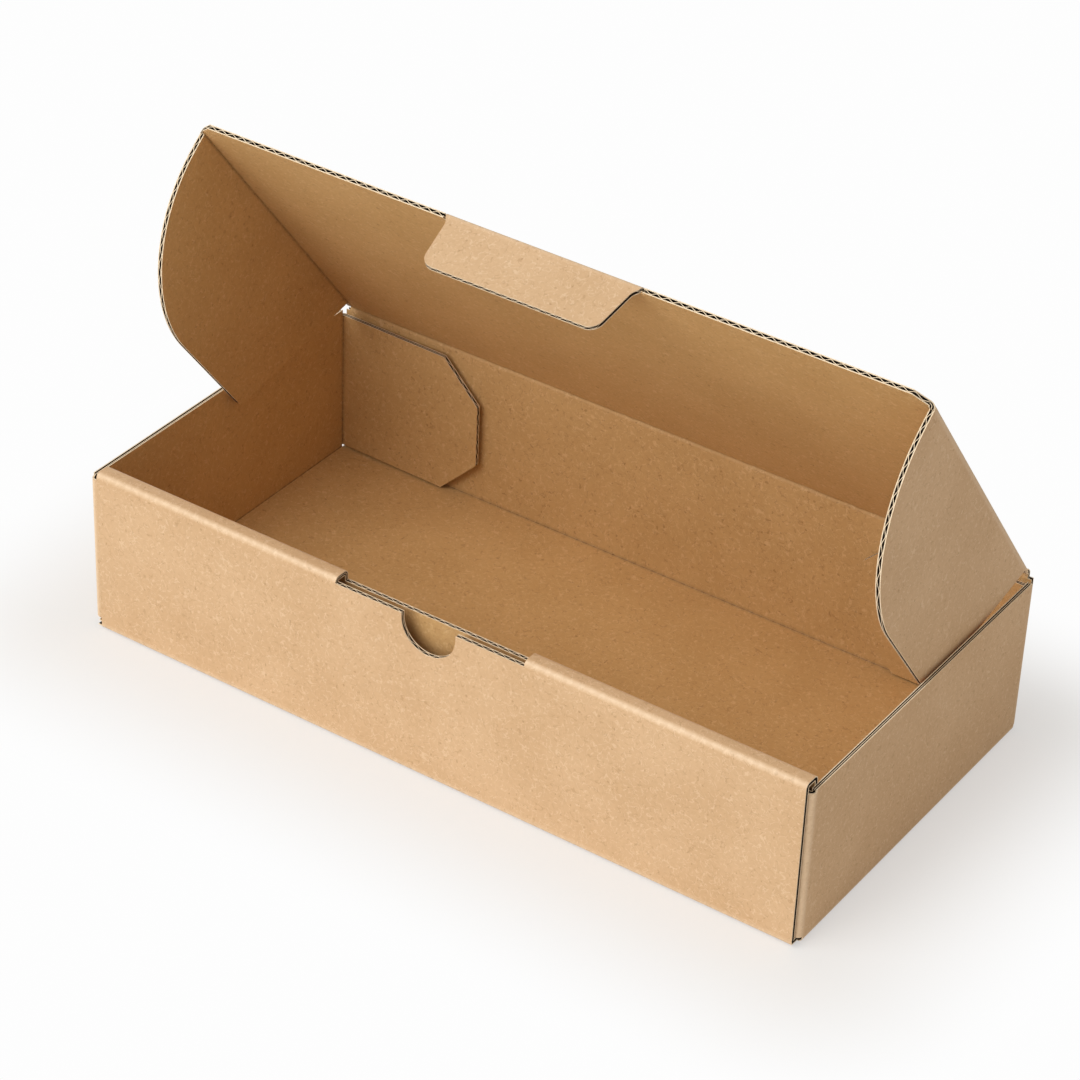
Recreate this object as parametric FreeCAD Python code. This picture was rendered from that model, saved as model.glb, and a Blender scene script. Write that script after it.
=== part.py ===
"""Mailer box with a rolled front wall, folded from one sheet of E-flute board, lid ajar.

Lengths are millimetres. X runs along the box, the front faces -Y and the floor is z = 0.
The sheet is cut apart only at the folds that move: the lid, its two dust flaps and its tab.
"""
import FreeCAD, Part
import math
import os

# The board
BOARD = 1.5                 # thickness of the corrugated board
LINER = 0.25                # each facing sheet
FLUTE_PITCH = 3.5           # crest to crest of the wavy sheet inside
WAVE_SHEET = 0.24           # thickness of the wavy sheet
FOLD_INSIDE = 0.2           # radius left inside a fold
CRUSH = 3.0                 # length of board pressed solid beside a moving fold

# The tray
LENGTH = 240.0
DEPTH = 122.0
SIDE_HEIGHT = 51.0
FRONT_HEIGHT = 54.0
FOLD_GAP = 0.3              # between two layers that lie on each other
END_SETBACK = 1.4           # the front and rear walls stop short of the side faces by this
FRONT_LEFT_SETBACK = 4.0    # but the front wall's left end by this
ROLL_GAP = 2.9              # between the outer and inner front panels at the slot
ROLL_FOLD_INSIDE = 0.3      # inside radius of the two folds of the rolled top
INNER_LEAN = 4.0            # degrees that the inner front panel leans into the box
INNER_SIDE_GAP = 0.6        # between the inner front panel's ends and the side walls

# Slot and thumb notch in the front wall
SLOT_DROP = 1.7             # cut edges of the slot below the top of the roll
NOTCH_RADIUS = 9.0
NOTCH_STRAIGHT = 1.5        # straight part of the notch above its half circle
SLOT_FLUTE_DEPTH = 5.0      # how deep the open flutes reach in at a cut edge
NOTCH_FLUTE_DEPTH = 13.0

# Corner flaps, hinged on the side walls
CORNER_FLAP_BOTTOM = 2.2
FRONT_FLAP_LENGTH = 50.0
FRONT_FLAP_TOP = 50.0
REAR_FLAP_LENGTH = 53.0
REAR_FLAP_TOP = 49.0
REAR_FLAP_CHAMFER = 13.0
LEFT_REAR_FLAP_LEAN = 1.5   # degrees that the left one has sprung off the rear wall
FLAP_FLUTE_DEPTH = 22.0

# Locking tabs at the foot of the inner front panel, each in a cut in the floor
LOCK_WIDTH = 26.0
LOCK_SPACING = 130.0
LOCK_GAP = 0.4
LOCK_FOOT = 0.15            # the locking tabs end this far above the underside

# The lid, at rest half open
HINGE_RISE = 0.85           # fold line above the side walls' top edges
LID_OPEN = 52.0             # degrees above closed
LID_SIDE_GAP = 0.9          # between a dust flap's face and the side wall
FOLD_RUNNING_GAP = 0.2      # between the two sides of a moving fold
TAB_FOLD_FROM_FRONT = 2.8   # tab's fold line behind the front face when the lid is shut
LID_EDGE_PAST_FOLD = 0.3
LID_CORNER_RADIUS = 1.1
LID_CORNER_CUT = 5.3        # front corners cut off at 45 degrees, down to the dust flaps

# Dust flaps
DUST_FLAP_DEPTH = 48.0
DUST_FLAP_ARC = 113.3       # radius of the front edge about the lid's fold
DUST_FLAP_CORNER = 44.0
DUST_FLAP_TIP = 28.0        # tip of the flap, along the lid from its fold
DUST_FLAP_TIP_RADIUS = 1.5
DUST_FLAP_START = 4.5       # the rear edge meets the lid here

# Tuck tab
TAB_LENGTH = 17.5
TAB_ROOT_WIDTH = 59.5
TAB_TIP_WIDTH = 55.5
TAB_CORNER = 4.0
TAB_ROOT_FLARE = 2.0
TAB_SLOT_GAP = 1.6          # the slot is longer than the tab's root by this at each end
TAB_FOLD = 72.0             # degrees from the lid's plane

HALF = BOARD / 2.0
INSIDE_X = LENGTH / 2.0 - BOARD
FRONT_Y = -DEPTH / 2.0
REAR_Y = DEPTH / 2.0
WALL_FOLD = HALF + FOLD_INSIDE
HINGE_Y = REAR_Y - HALF
HINGE_Z = SIDE_HEIGHT + HINGE_RISE
LID_HALF_WIDTH = INSIDE_X - LID_SIDE_GAP
TAB_FOLD_REACH = HINGE_Y - FRONT_Y - TAB_FOLD_FROM_FRONT
PANEL_END_X = LENGTH / 2.0 - END_SETBACK
SLOT_EDGE_Z = FRONT_HEIGHT - SLOT_DROP
SLOT_LENGTH = TAB_ROOT_WIDTH + 2.0 * TAB_SLOT_GAP
CORNER_LAYER_Y = DEPTH / 2.0 - BOARD - FOLD_GAP - HALF
EPS = 0.01


def vec(x, y, z):
    return FreeCAD.Vector(x, y, z)


def box(x0, x1, y0, y1, z0, z1):
    """Block between two opposite corners."""
    return Part.makeBox(x1 - x0, y1 - y0, z1 - z0, vec(x0, y0, z0))


def fuse_all(shapes):
    """One refined solid from overlapping or touching ones."""
    return shapes[0].multiFuse(shapes[1:]).removeSplitter()


def bent_board(corners, inside_radii, to_3d):
    """Face of a board's section: its middle line runs through the corners with round folds.

    corners are (u, v) points, inside_radii has one radius for each inner corner, and to_3d
    turns (u, v) into a vector.
    """
    chains = []
    for side in (1.0, -1.0):
        points = []
        count = len(corners)
        for i, (u, v) in enumerate(corners):
            before = None
            after = None
            if i > 0:
                before = unit(u - corners[i - 1][0], v - corners[i - 1][1])
            if i < count - 1:
                after = unit(corners[i + 1][0] - u, corners[i + 1][1] - v)
            if before is None or after is None:
                du, dv = after or before
                points.append(("line", (u - side * HALF * dv, v + side * HALF * du)))
                continue
            cross = before[0] * after[1] - before[1] * after[0]
            turn = math.atan2(cross, before[0] * after[0] + before[1] * after[1])
            middle = inside_radii[i - 1] + HALF
            tangent = middle * math.tan(abs(turn) / 2.0)
            way = math.copysign(1.0, turn)
            centre = (u - before[0] * tangent - way * before[1] * middle,
                      v - before[1] * tangent + way * before[0] * middle)
            radius = middle - way * side * HALF
            start = math.atan2(-way * before[0], way * before[1])
            arc = []
            for part in (0.0, 0.5, 1.0):
                angle = start + turn * part
                arc.append((centre[0] + radius * math.cos(angle),
                            centre[1] + radius * math.sin(angle)))
            points.append(("arc", arc))
        chains.append(points)
    edges = []
    last = None
    backward = [flipped(item) for item in reversed(chains[1])]
    for kind, data in chains[0] + backward:
        first_point = data if kind == "line" else data[0]
        if last is not None:
            edges.append(Part.LineSegment(to_3d(*last), to_3d(*first_point)))
        if kind == "arc":
            edges.append(Part.Arc(to_3d(*data[0]), to_3d(*data[1]), to_3d(*data[2])))
            last = data[2]
        else:
            last = data
    edges.append(Part.LineSegment(to_3d(*last), to_3d(*chains[0][0][1])))
    return Part.Face(Part.Wire([edge.toShape() for edge in edges]))


def unit(u, v):
    size = math.hypot(u, v)
    return (u / size, v / size)


def flipped(item):
    kind, data = item
    return (kind, data if kind == "line" else list(reversed(data)))


def rounded_outline(points, radii, to_3d):
    """Closed wire through the points, with each corner rounded by its radius."""
    count = len(points)
    edges = []
    last = None
    first = None
    for i, point in enumerate(points):
        before = unit(point[0] - points[i - 1][0], point[1] - points[i - 1][1])
        after_point = points[(i + 1) % count]
        after = unit(after_point[0] - point[0], after_point[1] - point[1])
        if radii[i] <= 0.0:
            stops = [point]
        else:
            cross = before[0] * after[1] - before[1] * after[0]
            turn = math.atan2(cross, before[0] * after[0] + before[1] * after[1])
            tangent = radii[i] * math.tan(abs(turn) / 2.0)
            way = math.copysign(1.0, turn)
            centre = (point[0] - before[0] * tangent - way * before[1] * radii[i],
                      point[1] - before[1] * tangent + way * before[0] * radii[i])
            start = math.atan2(-way * before[0], way * before[1])
            stops = [(centre[0] + radii[i] * math.cos(start + turn * part),
                      centre[1] + radii[i] * math.sin(start + turn * part))
                     for part in (0.0, 0.5, 1.0)]
        if last is not None:
            edges.append(Part.LineSegment(to_3d(*last), to_3d(*stops[0])))
        if len(stops) == 3:
            edges.append(Part.Arc(to_3d(*stops[0]), to_3d(*stops[1]), to_3d(*stops[2])))
        if first is None:
            first = stops[0]
        last = stops[-1]
    edges.append(Part.LineSegment(to_3d(*last), to_3d(*first)))
    return Part.Wire([edge.toShape() for edge in edges])


def flute_cuts(width, length):
    """Hollows on both sides of the wavy sheet, along +Y, across X, with the board about z = 0."""
    void = HALF - LINER
    rise = 2.0 * void - WAVE_SHEET * 1.3
    spread = FLUTE_PITCH / 2.0 - WAVE_SHEET
    prisms = []
    count = int(width / FLUTE_PITCH) + 1
    for k in range(-2 * count, 2 * count + 1):
        x = k * FLUTE_PITCH / 2.0
        if abs(x) + spread > width / 2.0:
            continue
        way = 1.0 if k % 2 else -1.0
        triangle = Part.makePolygon([vec(x - spread, 0, way * void),
                                     vec(x + spread, 0, way * void),
                                     vec(x, 0, way * (void - rise)),
                                     vec(x - spread, 0, way * void)])
        prisms.append(Part.Face(triangle).extrude(vec(0, length, 0)))
    return prisms


def placed(shapes, origin, across, along):
    """Shapes moved so that their X runs along across and their Y along along."""
    normal = across.cross(along)
    matrix = FreeCAD.Matrix(across.x, along.x, normal.x, origin.x,
                            across.y, along.y, normal.y, origin.y,
                            across.z, along.z, normal.z, origin.z,
                            0, 0, 0, 1)
    moved = []
    for shape in shapes:
        copy = shape.copy()
        copy.Placement = FreeCAD.Placement(matrix)
        moved.append(copy)
    return moved


def make_tray():
    """Floor, side walls, rear wall, double front wall and the four corner flaps."""
    lean = math.radians(INNER_LEAN)
    top = FRONT_HEIGHT - HALF
    inner_y = FRONT_Y + BOARD + ROLL_GAP + HALF
    foot_z = BOARD + FOLD_GAP
    foot_y = inner_y + (top - foot_z) * math.tan(lean)
    section = bent_board([(foot_y, foot_z), (inner_y, top), (FRONT_Y + HALF, top),
                          (FRONT_Y + HALF, HALF), (HINGE_Y, HALF), (HINGE_Y, HINGE_Z)],
                         [ROLL_FOLD_INSIDE, ROLL_FOLD_INSIDE, FOLD_INSIDE, FOLD_INSIDE],
                         lambda y, z: vec(-PANEL_END_X, y, z))
    body = section.extrude(vec(2.0 * PANEL_END_X, 0, 0))
    knuckle = Part.makeCylinder(HALF, 2.0 * PANEL_END_X, vec(-PANEL_END_X, HINGE_Y, HINGE_Z),
                                vec(1, 0, 0))
    for side in (-1.0, 1.0):
        edge = sorted((side * (INSIDE_X - INNER_SIDE_GAP), side * LENGTH))
        body = body.cut(box(edge[0], edge[1], FRONT_Y + BOARD + EPS, -CORNER_LAYER_Y + 20.0,
                            BOARD + EPS, SIDE_HEIGHT + FOLD_GAP))
    left_end = FRONT_LEFT_SETBACK - LENGTH / 2.0
    body = body.cut(box(-LENGTH, left_end, FRONT_Y - 1.0, FRONT_Y + BOARD + EPS, -1.0,
                        FRONT_HEIGHT + 1.0))
    body = body.cut(box(-LENGTH, left_end, FRONT_Y - 1.0, inner_y + BOARD * 2.0,
                        SIDE_HEIGHT + FOLD_GAP, FRONT_HEIGHT + 1.0))
    cross = bent_board([(-LENGTH / 2.0 + HALF, SIDE_HEIGHT), (-LENGTH / 2.0 + HALF, HALF),
                        (LENGTH / 2.0 - HALF, HALF), (LENGTH / 2.0 - HALF, SIDE_HEIGHT)],
                       [FOLD_INSIDE, FOLD_INSIDE],
                       lambda x, z: vec(x, -CORNER_LAYER_Y + WALL_FOLD, z))
    sides = cross.extrude(vec(0, 2.0 * (CORNER_LAYER_Y - WALL_FOLD), 0))
    tray = fuse_all([body, knuckle, sides] + [make_corner_flaps(side) for side in (-1.0, 1.0)])
    tray = cut_slot(tray, inner_y)
    return add_lock_tabs(tray, inner_y, top, lean)


def make_corner_flaps(side):
    """The side wall's two upright folds with the flaps that they turn inwards."""
    wall_x = side * (LENGTH / 2.0 - HALF)
    lean = math.radians(LEFT_REAR_FLAP_LEAN) if side < 0 else 0.0
    front_x = side * (LENGTH / 2.0 - FRONT_FLAP_LENGTH)
    rear_x = side * (LENGTH / 2.0 - REAR_FLAP_LENGTH)
    rear_y = CORNER_LAYER_Y - REAR_FLAP_LENGTH * math.tan(lean)
    bend = WALL_FOLD + EPS
    pieces = []
    for y, x_end, y_end, top in ((-CORNER_LAYER_Y, front_x, -CORNER_LAYER_Y, FRONT_FLAP_TOP),
                                 (CORNER_LAYER_Y, rear_x, rear_y, REAR_FLAP_TOP)):
        inner = math.copysign(abs(y) - bend - 1.0, y)
        face = bent_board([(wall_x, inner), (wall_x, y), (x_end, y_end)], [FOLD_INSIDE],
                          lambda u, v: vec(u, v, CORNER_FLAP_BOTTOM))
        flap = face.extrude(vec(0, 0, top - CORNER_FLAP_BOTTOM))
        pieces.append(flap)
    front, rear = pieces
    chamfer = REAR_FLAP_CHAMFER
    for z, way in ((REAR_FLAP_TOP, -1.0), (CORNER_FLAP_BOTTOM, 1.0)):
        corner = Part.makePolygon([vec(rear_x - side, 0, z - way),
                                   vec(rear_x + side * chamfer, 0, z - way),
                                   vec(rear_x + side * chamfer, 0, z),
                                   vec(rear_x, 0, z + way * chamfer),
                                   vec(rear_x - side, 0, z + way * chamfer),
                                   vec(rear_x - side, 0, z - way)])
        rear = rear.cut(Part.Face(corner).extrude(vec(0, DEPTH, 0)))
    along = vec(side * math.cos(lean), math.sin(lean), 0)
    height = REAR_FLAP_TOP - CORNER_FLAP_BOTTOM
    middle = vec(rear_x, rear_y, CORNER_FLAP_BOTTOM + height / 2.0) - along * 1.0
    cuts = placed(flute_cuts(height - FLUTE_PITCH, FLAP_FLUTE_DEPTH + 1.0), middle,
                  vec(0, 0, 1), along)
    return front.fuse(rear.cut(Part.makeCompound(cuts)))


def cut_slot(tray, inner_y):
    """The slot takes the rolled top away; the outer panel's edge has the thumb notch."""
    half = SLOT_LENGTH / 2.0
    tray = tray.cut(box(-half, half, FRONT_Y - 1.0, inner_y + BOARD * 2.0, SLOT_EDGE_Z,
                        FRONT_HEIGHT + 1.0))
    centre_z = SLOT_EDGE_Z - NOTCH_STRAIGHT
    notch = Part.makeCylinder(NOTCH_RADIUS, BOARD + 1.0 + EPS,
                              vec(0, FRONT_Y - 1.0, centre_z), vec(0, 1, 0))
    notch = notch.fuse(box(-NOTCH_RADIUS, NOTCH_RADIUS, FRONT_Y - 1.0, FRONT_Y + BOARD + EPS,
                           centre_z, FRONT_HEIGHT))
    tray = tray.cut(notch)
    lean = math.radians(INNER_LEAN)
    drop = FRONT_HEIGHT - HALF - SLOT_EDGE_Z
    edges = ((FRONT_Y + HALF, 0.0), (inner_y + drop * math.tan(lean), lean))
    for y, tilt in edges:
        down = vec(0, math.sin(tilt), -math.cos(tilt))
        start = vec(0, y, SLOT_EDGE_Z) - down * 1.0
        for cut in flute_cuts(SLOT_LENGTH, 1.0):
            centre = cut.BoundBox.Center.x
            near = abs(centre) < NOTCH_RADIUS + FLUTE_PITCH / 2.0 and tilt == 0.0
            depth = (NOTCH_FLUTE_DEPTH if near else SLOT_FLUTE_DEPTH) + 1.0
            base = cut.Faces[0]
            for face in cut.Faces:
                if face.BoundBox.YMax < EPS:
                    base = face
            prism = base.extrude(vec(0, depth, 0))
            tray = tray.cut(placed([prism], start, vec(1, 0, 0), down)[0])
    return tray


def add_lock_tabs(tray, inner_y, top, lean):
    """Two tabs at the foot of the inner panel, in cuts through the floor."""
    slope = math.tan(lean)
    for x in (-LOCK_SPACING / 2.0, LOCK_SPACING / 2.0):
        foot = inner_y + (top - LOCK_FOOT) * slope
        start = inner_y + (top - BOARD - FOLD_GAP - 1.0) * slope
        thick = HALF / math.cos(lean)
        shape = Part.makePolygon([vec(0, foot - thick, LOCK_FOOT),
                                  vec(0, foot + thick, LOCK_FOOT),
                                  vec(0, start + thick, BOARD + FOLD_GAP + 1.0),
                                  vec(0, start - thick, BOARD + FOLD_GAP + 1.0),
                                  vec(0, foot - thick, LOCK_FOOT)])
        half = LOCK_WIDTH / 2.0
        tab = Part.Face(shape).extrude(vec(LOCK_WIDTH, 0, 0))
        tab.translate(vec(x - half, 0, 0))
        tray = tray.cut(box(x - half - LOCK_GAP, x + half + LOCK_GAP, foot - thick - LOCK_GAP,
                            foot + thick + LOCK_GAP, -1.0, BOARD + EPS))
        tray = tray.fuse(tab)
    return tray.removeSplitter()


def lid_to_world(shape):
    """From the closed lid's place about its fold line to the half-open lid."""
    shape.Placement = FreeCAD.Placement(vec(0, HINGE_Y, HINGE_Z),
                                        FreeCAD.Rotation(vec(1, 0, 0), -LID_OPEN))
    return shape


def make_lid():
    """Flat lid between its three moving folds, with its flutes open at the front edge."""
    rear = HALF + FOLD_RUNNING_GAP
    front = TAB_FOLD_REACH + LID_EDGE_PAST_FOLD
    half = LID_HALF_WIDTH
    lid = box(-half, half, -front, -rear, -HALF, HALF)
    recess = TAB_ROOT_WIDTH / 2.0 + TAB_ROOT_FLARE + FOLD_RUNNING_GAP
    lid = lid.cut(box(-recess, recess, -front - 1.0, -TAB_FOLD_REACH + rear, -BOARD, BOARD))
    cut = LID_CORNER_CUT
    for side in (-1.0, 1.0):
        corner = Part.makePolygon([vec(side * (half + 1.0), -front - 1.0, -BOARD),
                                   vec(side * (half - cut - 1.0), -front - 1.0, -BOARD),
                                   vec(side * (half + 1.0), -front + cut + 1.0, -BOARD),
                                   vec(side * (half + 1.0), -front - 1.0, -BOARD)])
        lid = lid.cut(Part.Face(corner).extrude(vec(0, 0, 2.0 * BOARD)))
    corners = [edge for edge in lid.Edges
               if edge.BoundBox.YLength > TAB_FOLD_REACH / 2.0 and edge.BoundBox.ZMin > 0]
    lid = lid.makeFillet(LID_CORNER_RADIUS, corners)
    cuts = placed(flute_cuts(2.0 * half - FLUTE_PITCH, front + 1.0 - CRUSH),
                  vec(0, -CRUSH, 0), vec(-1, 0, 0), vec(0, -1, 0))
    return lid_to_world(lid.cut(Part.makeCompound(cuts)))


def make_dust_flap(side):
    """Curved flap that hangs from the lid's side edge, just inside the side wall."""
    centre_h = DUST_FLAP_DEPTH - DUST_FLAP_CORNER
    centre_s = math.sqrt((DUST_FLAP_ARC - DUST_FLAP_CORNER) ** 2 - (centre_h + HALF) ** 2)
    scale = DUST_FLAP_ARC / (DUST_FLAP_ARC - DUST_FLAP_CORNER)
    arc_end = (centre_s * scale, (centre_h + HALF) * scale - HALF)
    top = FOLD_RUNNING_GAP
    outer_x = side * LID_HALF_WIDTH

    def at(s, h):
        return vec(outer_x, -s, -HALF - h)

    def on_arc(h):
        return (math.sqrt(DUST_FLAP_ARC ** 2 - (h + HALF) ** 2), h)

    start = on_arc(top)
    half_way = on_arc(arc_end[1] / 2.0)
    angle = (math.pi / 2.0 + math.atan2(centre_h + HALF, centre_s)) / 2.0
    bulge = (centre_s + DUST_FLAP_CORNER * math.cos(angle),
             centre_h + DUST_FLAP_CORNER * math.sin(angle))
    low = (centre_s, DUST_FLAP_DEPTH)
    along = unit(DUST_FLAP_START - DUST_FLAP_TIP, -DUST_FLAP_DEPTH)
    turn = math.acos(-along[0] * 1.0)
    turn = math.pi - turn
    tangent = DUST_FLAP_TIP_RADIUS * math.tan((math.pi - turn) / 2.0)
    tip_in = (DUST_FLAP_TIP + tangent, DUST_FLAP_DEPTH)
    tip_out = (DUST_FLAP_TIP + along[0] * tangent, DUST_FLAP_DEPTH + along[1] * tangent)
    tip_centre = (tip_in[0], DUST_FLAP_DEPTH - DUST_FLAP_TIP_RADIUS)
    toward = unit((tip_in[0] + tip_out[0]) / 2.0 - tip_centre[0],
                  (tip_in[1] + tip_out[1]) / 2.0 - tip_centre[1])
    tip_mid = (tip_centre[0] + toward[0] * DUST_FLAP_TIP_RADIUS,
               tip_centre[1] + toward[1] * DUST_FLAP_TIP_RADIUS)
    end = (DUST_FLAP_START, top)
    edges = [Part.Arc(at(*start), at(*half_way), at(*arc_end)),
             Part.Arc(at(*arc_end), at(*bulge), at(*low)),
             Part.LineSegment(at(*low), at(*tip_in)),
             Part.Arc(at(*tip_in), at(*tip_mid), at(*tip_out)),
             Part.LineSegment(at(*tip_out), at(*end)),
             Part.LineSegment(at(*end), at(*start))]
    face = Part.Face(Part.Wire([edge.toShape() for edge in edges]))
    flap = face.extrude(vec(-side * BOARD, 0, 0))
    middle = vec(side * (LID_HALF_WIDTH - HALF), 1.0, -HALF - DUST_FLAP_DEPTH / 2.0)
    cuts = placed(flute_cuts(DUST_FLAP_DEPTH - FLUTE_PITCH, DUST_FLAP_ARC + 2.0), middle,
                  vec(0, 0, 1), vec(0, -1, 0))
    return lid_to_world(flap.cut(Part.makeCompound(cuts)))


def make_tab():
    """Tapered tuck tab on the lid's front edge, its root flared by a small round."""
    root = TAB_ROOT_WIDTH / 2.0
    tip = TAB_TIP_WIDTH / 2.0
    flare = TAB_ROOT_FLARE
    outline = rounded_outline([(-root - flare, 0.0), (root + flare, 0.0),
                               (root, flare), (tip, TAB_LENGTH),
                               (-tip, TAB_LENGTH), (-root, flare)],
                              [0.0, 0.0, 2.0 * flare, TAB_CORNER, TAB_CORNER, 2.0 * flare],
                              lambda x, q: vec(x, -q, -HALF))
    tab = Part.Face(outline).extrude(vec(0, 0, BOARD))
    knuckle = Part.makeCylinder(HALF, 2.0 * (root + flare), vec(-root - flare, 0, 0),
                                vec(1, 0, 0))
    tab = tab.fuse(knuckle).removeSplitter()
    cuts = placed(flute_cuts(TAB_TIP_WIDTH, TAB_LENGTH), vec(0, -CRUSH, 0), vec(-1, 0, 0),
                  vec(0, -1, 0))
    tab = tab.cut(Part.makeCompound(cuts))
    tab.Placement = FreeCAD.Placement(vec(0, -TAB_FOLD_REACH, 0),
                                      FreeCAD.Rotation(vec(1, 0, 0), TAB_FOLD))
    folded = tab.copy()
    base = FreeCAD.Placement(vec(0, HINGE_Y, HINGE_Z),
                             FreeCAD.Rotation(vec(1, 0, 0), -LID_OPEN))
    folded.Placement = base.multiply(tab.Placement)
    return folded


def export(name, shape):
    """Check one piece and write its file."""
    solids = shape.Solids
    print(name, "solids", len(solids), "valid", shape.isValid(),
          "volume", round(shape.Volume, 1), "box", shape.BoundBox)
    solids[0].exportStep(os.path.join("parts", name + ".step"))


os.makedirs("parts", exist_ok=True)
export("tray", make_tray())
export("lid_panel", make_lid())
export("left_dust_flap", make_dust_flap(-1.0))
export("right_dust_flap", make_dust_flap(1.0))
export("tuck_tab", make_tab())
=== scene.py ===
import bpy
import math
import numpy as np
from mathutils import Matrix, Vector


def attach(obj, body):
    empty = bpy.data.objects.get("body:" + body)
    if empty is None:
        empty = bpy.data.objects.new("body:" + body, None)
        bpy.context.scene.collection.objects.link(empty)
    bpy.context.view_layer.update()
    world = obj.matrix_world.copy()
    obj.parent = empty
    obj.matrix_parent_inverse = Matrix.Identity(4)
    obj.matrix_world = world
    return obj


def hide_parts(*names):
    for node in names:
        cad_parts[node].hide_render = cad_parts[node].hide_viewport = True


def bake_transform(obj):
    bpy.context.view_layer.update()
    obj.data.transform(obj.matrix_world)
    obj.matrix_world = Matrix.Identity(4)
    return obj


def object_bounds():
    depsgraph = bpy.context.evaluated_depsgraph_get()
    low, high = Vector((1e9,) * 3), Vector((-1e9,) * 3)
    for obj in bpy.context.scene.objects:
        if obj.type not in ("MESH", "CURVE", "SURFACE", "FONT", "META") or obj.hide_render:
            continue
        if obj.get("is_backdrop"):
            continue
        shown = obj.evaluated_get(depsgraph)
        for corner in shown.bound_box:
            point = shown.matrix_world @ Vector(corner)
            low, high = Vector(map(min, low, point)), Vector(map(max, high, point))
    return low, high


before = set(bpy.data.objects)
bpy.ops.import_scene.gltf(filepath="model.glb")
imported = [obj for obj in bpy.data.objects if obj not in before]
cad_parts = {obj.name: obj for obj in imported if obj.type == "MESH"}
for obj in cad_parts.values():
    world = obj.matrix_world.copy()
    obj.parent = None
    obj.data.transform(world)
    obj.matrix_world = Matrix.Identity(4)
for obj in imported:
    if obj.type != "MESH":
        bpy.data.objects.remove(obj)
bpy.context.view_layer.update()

# Floor, side walls, rear wall and corner flaps of the tray, with the front wall that rolls
# over itself. All of it is one die-cut sheet of E-flute kraft board: two liners glued to the
# crests of a wavy sheet. Board that meets a fold is pressed there by a scoring rule.

BOARD = 1.5
LINER = 0.3
HALF = BOARD / 2
FLUTE_PITCH = 3.5
WAVE_SHEET = 0.2
WAVE_HEIGHT = HALF - LINER - WAVE_SHEET / 2
SAMPLES_PER_FLUTE = 8
SHARP_ANGLE = math.radians(32)


def rounded_line(corners, radii, marks=(), steps=6):
    """Straight runs joined by arcs, as points and the unit vectors to the right of travel.

    An arc's points are its centre minus the radius times the left-hand vector, with the
    direction turning evenly from one run to the next. marks holds (run, distance) pairs
    for extra points on the runs, measured from the run's first corner.
    """
    corners = np.asarray(corners, float)
    runs = np.diff(corners, axis=0)
    lengths = np.hypot(runs[:, 0], runs[:, 1])
    way = runs / lengths[:, None]
    heading = np.arctan2(way[:, 1], way[:, 0])
    turns = (np.diff(heading) + np.pi) % (2 * np.pi) - np.pi
    cuts = np.asarray(radii) * np.tan(np.abs(turns) / 2)
    begins = np.concatenate([[0.0], cuts])
    ends = lengths - np.concatenate([cuts, [0.0]])
    points = []
    headings = []
    for run in range(len(runs)):
        inner = [d for r, d in marks if r == run and begins[run] < d < ends[run]]
        stops = np.array([begins[run]] + sorted(inner) + [ends[run]])
        points.append(corners[run] + stops[:, None] * way[run])
        headings.append(np.full(len(stops), heading[run]))
        if run < len(turns):
            turn = turns[run]
            t = heading[run] + turn * np.linspace(0, 1, steps + 2)[1:-1]
            left = np.stack([-np.sin(t), np.cos(t)], axis=1)
            first = np.array([-math.sin(heading[run]), math.cos(heading[run])])
            side = math.copysign(radii[run], turn)
            centre = corners[run] + ends[run] * way[run] + side * first
            points.append(centre - side * left)
            headings.append(t)
    heading = np.concatenate(headings)
    return np.concatenate(points), np.stack([np.sin(heading), -np.cos(heading)], axis=1)


def crease(out):
    """Fold weight along a folded line: 1 on an arc, a half at its ends, 0 on flat board.

    out holds the line's unit normals. On a flat run they lie within a few degrees of an axis.
    """
    turning = np.abs(out).min(axis=1) > 0.1
    beside = np.convolve(turning, [1, 1, 1], "same") > 0
    return np.where(turning, 1.0, np.where(beside, 0.5, 0.0))


def wave(distance):
    """Middle of the wavy sheet: a sine of the distance across the flutes.

    A little of the sine of three times the angle is taken off, which sharpens the crests.
    """
    sharp = 0.06
    turn = 2 * np.pi * distance / FLUTE_PITCH
    return WAVE_HEIGHT * (np.sin(turn) - sharp * np.sin(3 * turn)) / (1 + sharp)


def flute_samples(low, high, extra=()):
    """Evenly spaced places across the flutes, with the ends and any extra ones put in."""
    step = FLUTE_PITCH / SAMPLES_PER_FLUTE
    inner = np.arange(math.ceil(low / step), math.floor(high / step) + 1) * step
    return np.unique(np.concatenate([[low, high], inner, list(extra)]))


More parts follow.
